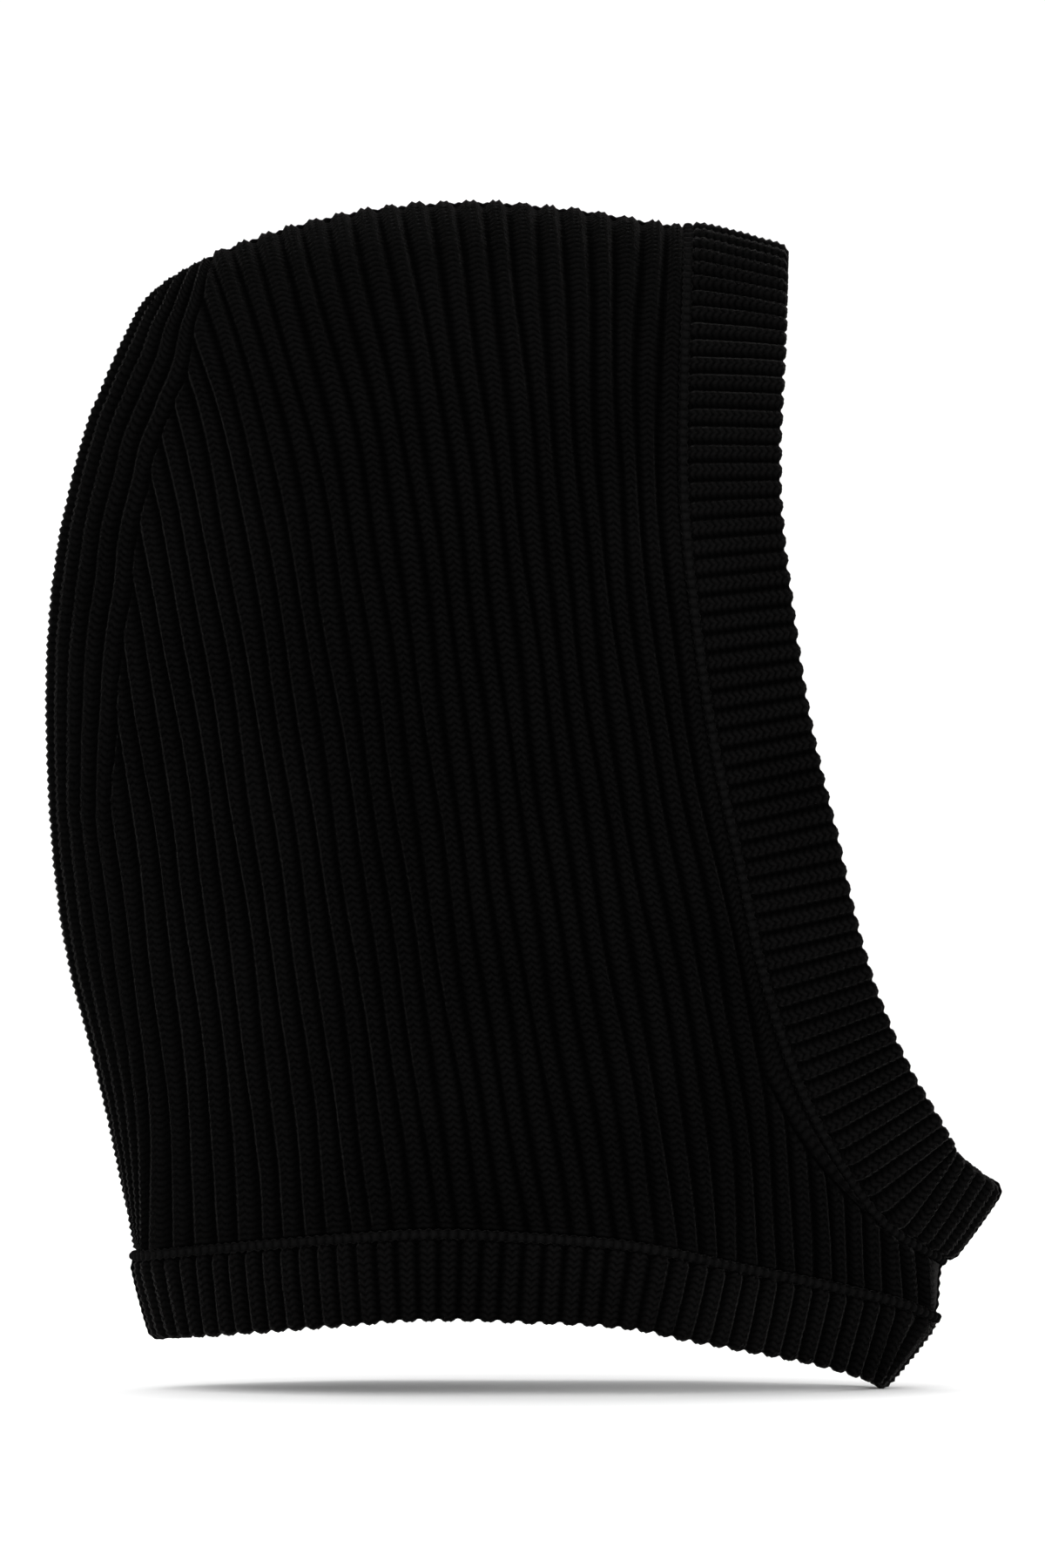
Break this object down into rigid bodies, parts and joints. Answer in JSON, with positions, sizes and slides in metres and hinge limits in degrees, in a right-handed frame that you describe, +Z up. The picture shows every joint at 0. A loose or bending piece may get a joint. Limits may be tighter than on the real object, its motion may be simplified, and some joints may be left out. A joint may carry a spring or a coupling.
{
  "type": "balaclava",
  "caption": "Chunky rib-knitted balaclava hood with a deep face opening framed by a ribbed band, a ribbed neck band and linked seams, standing open as a head fills it.",
  "frame": {"origin": "under the middle of the hood's box, level with the lowest point of the neck band", "axes": "+X the way the wearer faces, +Y the wearer's left, +Z up through the crown"},
  "size_m": [0.2798, 0.1352, 0.3489],
  "materials": {
    "hood_knit": "matt brushed wool yarn, two-wale ribs with deep gaps between them",
    "band_ribbing": "the same yarn in a denser double ribbing with a rolled edge",
    "linking_yarn": "linking chain in the same black yarn",
    "label_satin": "blank black satin ribbon with a soft sheen"
  },
  "bodies": {
    "root": {"hood_panel_left": "hood_knit", "hood_panel_right": "hood_knit", "face_band": "band_ribbing", "neck_band": "band_ribbing", "face_seam": "linking_yarn", "neck_seam": "linking_yarn", "centre_seam": "linking_yarn", "chin_seam": "linking_yarn", "face_band_join": "linking_yarn", "neck_band_join": "linking_yarn", "neck_label": "label_satin", "neck_label_tack_left": "linking_yarn", "neck_label_tack_right": "linking_yarn", "care_label": "label_satin"}
  },
  "joints": []
}
